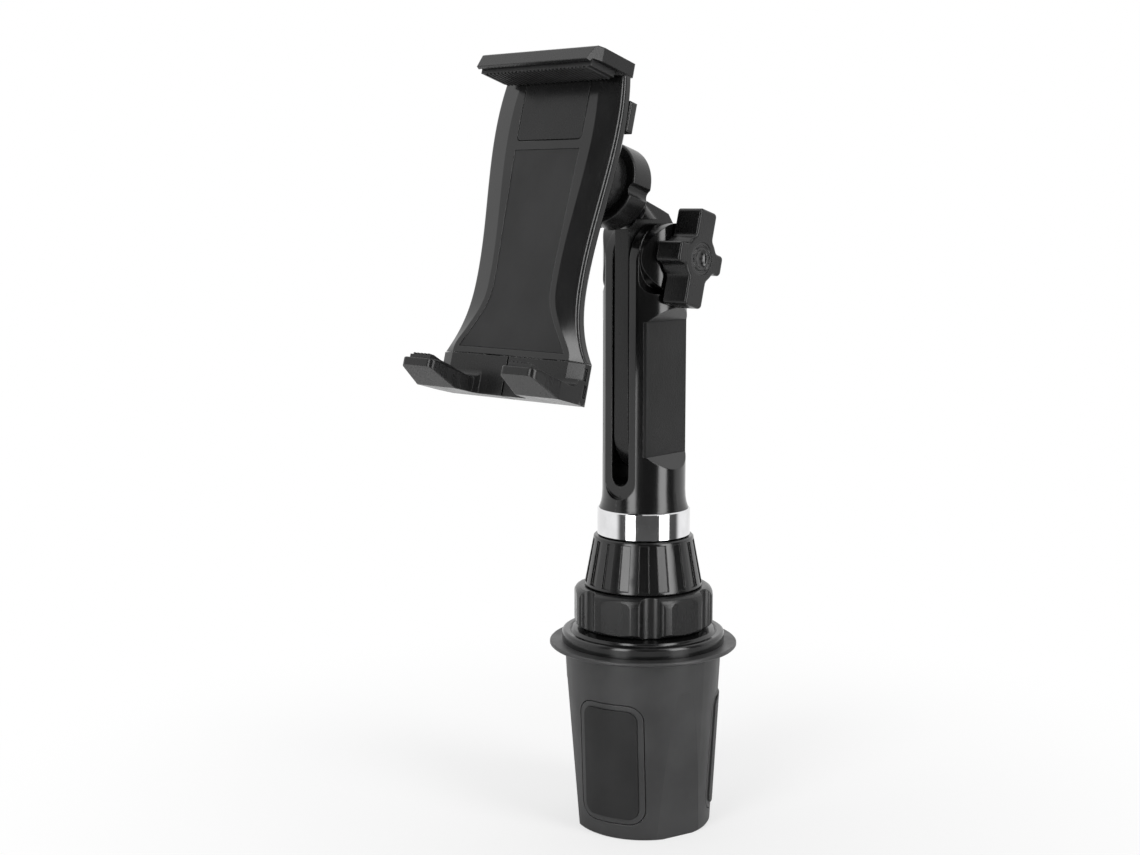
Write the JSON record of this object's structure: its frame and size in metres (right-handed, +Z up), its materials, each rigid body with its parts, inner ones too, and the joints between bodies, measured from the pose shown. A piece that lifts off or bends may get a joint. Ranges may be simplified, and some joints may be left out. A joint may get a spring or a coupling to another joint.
{
  "type": "cup-holder phone mount",
  "caption": "Cup-holder mount with spreading cup pads, swivelling slotted column, sliding tilting arm, ball joint and a clamping phone or tablet holder.",
  "frame": {"origin": "centre of the flat bottom of the cup", "axes": "+Z up the column, -Y towards the front that holds the device, +X towards the star knob"},
  "size_m": [0.0908, 0.1661, 0.3664],
  "materials": {
    "cup_plastic": "fine moulded texture, satin",
    "gloss_plastic": "smooth moulded, glossy",
    "satin_plastic": "smooth moulded, satin",
    "grained_plastic": "fine spark-eroded grain",
    "inset_rubber": "smooth matte",
    "grip_rubber": "ridged matte",
    "chrome_trim": "polished",
    "steel": "turned",
    "steel_black": "black oxide, satin",
    "brass_insert": "turned",
    "nylon": "natural nylon"
  },
  "bodies": {
    "base": {"cup_body": "cup_plastic", "base_plate": "steel_black", "base_screws": "steel", "neck_tube": "steel", "neck_cap": "steel", "base_lid": "gloss_plastic"},
    "dial": {"dial_knob": "satin_plastic", "drive_sleeve": "nylon"},
    "wedge": {"wedge_ring": "nylon"},
    "pad_1": {"pad_jaw_1": "cup_plastic", "pad_rubber_1": "inset_rubber"},
    "pad_2": {"pad_jaw_2": "cup_plastic", "pad_rubber_2": "inset_rubber"},
    "pad_3": {"pad_jaw_3": "cup_plastic", "pad_rubber_3": "inset_rubber"},
    "column": {"column_left": "gloss_plastic", "column_right": "gloss_plastic", "column_screws": "steel_black", "side_panel_left": "grained_plastic", "side_panel_right": "grained_plastic", "collet_sleeve": "nylon", "chrome_ring": "chrome_trim", "pivot_bolt": "steel_black", "friction_washers": "nylon"},
    "collar": {"lock_collar": "gloss_plastic"},
    "knob": {"star_knob": "satin_plastic", "knob_insert": "brass_insert", "knob_cap": "gloss_plastic"},
    "pivot_block": {"slide_block": "nylon"},
    "arm": {"arm_bar": "satin_plastic", "ball_stud": "steel_black"},
    "liner": {"socket_liner": "nylon"},
    "socket": {"socket_cup": "satin_plastic", "spindle_washer": "steel"},
    "nut": {"ring_nut": "satin_plastic"},
    "holder": {"holder_front_shell": "gloss_plastic", "holder_back_cover": "satin_plastic", "holder_screws": "steel_black", "front_pad": "inset_rubber", "button_spring": "steel"},
    "jaw": {"top_jaw": "satin_plastic", "top_jaw_pad": "grip_rubber"},
    "button": {"release_button": "gloss_plastic"},
    "foot_r": {"foot_right": "satin_plastic", "foot_pad_right": "grip_rubber"},
    "foot_l": {"foot_left": "satin_plastic", "foot_pad_left": "grip_rubber"}
  },
  "joints": [
    {"name": "dial_turn", "type": "hinge", "parent": "base", "child": "dial", "pos_m": [0, 0, 0.107], "axis": [0, 0, 1], "range_deg": [0, 270]},
    {"name": "wedge_climb", "type": "slide", "parent": "base", "child": "wedge", "axis": [0, 0, 1], "range_m": [0, 0.02]},
    {"name": "pad_1_spread", "type": "slide", "parent": "base", "child": "pad_1", "axis": [0.225, -0.9744, 0], "range_m": [0, 0.008]},
    {"name": "pad_2_spread", "type": "slide", "parent": "base", "child": "pad_2", "axis": [0.7314, 0.682, 0], "range_m": [0, 0.008]},
    {"name": "pad_3_spread", "type": "slide", "parent": "base", "child": "pad_3", "axis": [-0.9563, 0.2924, 0], "range_m": [0, 0.008]},
    {"name": "column_swivel", "type": "hinge", "parent": "base", "child": "column", "pos_m": [0, 0, 0.15], "axis": [0, 0, 1], "continuous": true},
    {"name": "collar_lock", "type": "hinge", "parent": "column", "child": "collar", "pos_m": [0, 0, 0.13], "axis": [0, 0, 1], "range_deg": [0, 90]},
    {"name": "knob_turn", "type": "hinge", "parent": "column", "child": "knob", "pos_m": [0.025, 0, 0.2755], "axis": [1, 0, 0], "continuous": true},
    {"name": "arm_tilt", "type": "hinge", "parent": "column", "child": "pivot_block", "pos_m": [0, 0, 0.2755], "axis": [-1, 0, 0], "range_deg": [0, 90]},
    {"name": "arm_slide", "type": "slide", "parent": "pivot_block", "child": "arm", "axis": [0, 0, 1], "range_m": [0, 0.08]},
    {"name": "ball_tilt", "type": "hinge", "parent": "arm", "child": "liner", "pos_m": [0, -0.0261, 0.3088], "axis": [1, 0, 0], "range_deg": [-35, 12]},
    {"name": "ball_pan", "type": "hinge", "parent": "liner", "child": "socket", "pos_m": [0, -0.0261, 0.3088], "axis": [0, 0.2656, 0.9641], "range_deg": [-16, 16]},
    {"name": "holder_roll", "type": "hinge", "parent": "socket", "child": "holder", "pos_m": [0, -0.0261, 0.3088], "axis": [0, -0.9641, 0.2656], "continuous": true},
    {"name": "nut_turn", "type": "hinge", "parent": "socket", "child": "nut", "pos_m": [0, -0.0261, 0.3088], "axis": [0, -0.9641, 0.2656], "continuous": true},
    {"name": "jaw_slide", "type": "slide", "parent": "holder", "child": "jaw", "axis": [0, 0.2656, 0.9641], "range_m": [0, 0.06]},
    {"name": "release_press", "type": "slide", "parent": "holder", "child": "button", "axis": [-1, 0, 0], "range_m": [0, 0.002], "stiffness_N_per_m": 400, "springref_m": -0.001, "deforming": ["button_spring"]},
    {"name": "foot_right_slide", "type": "slide", "parent": "holder", "child": "foot_r", "axis": [0, -0.2656, -0.9641], "range_m": [0, 0.02]},
    {"name": "foot_left_slide", "type": "slide", "parent": "holder", "child": "foot_l", "axis": [0, -0.2656, -0.9641], "range_m": [0, 0.02]}
  ],
  "couplings": [
    {"joint": "wedge_climb", "follows": "dial_turn", "m_per_rad": 0.0042441},
    {"joint": "pad_1_spread", "follows": "dial_turn", "m_per_rad": 0.0016977},
    {"joint": "pad_2_spread", "follows": "dial_turn", "m_per_rad": 0.0016977},
    {"joint": "pad_3_spread", "follows": "dial_turn", "m_per_rad": 0.0016977}
  ]
}
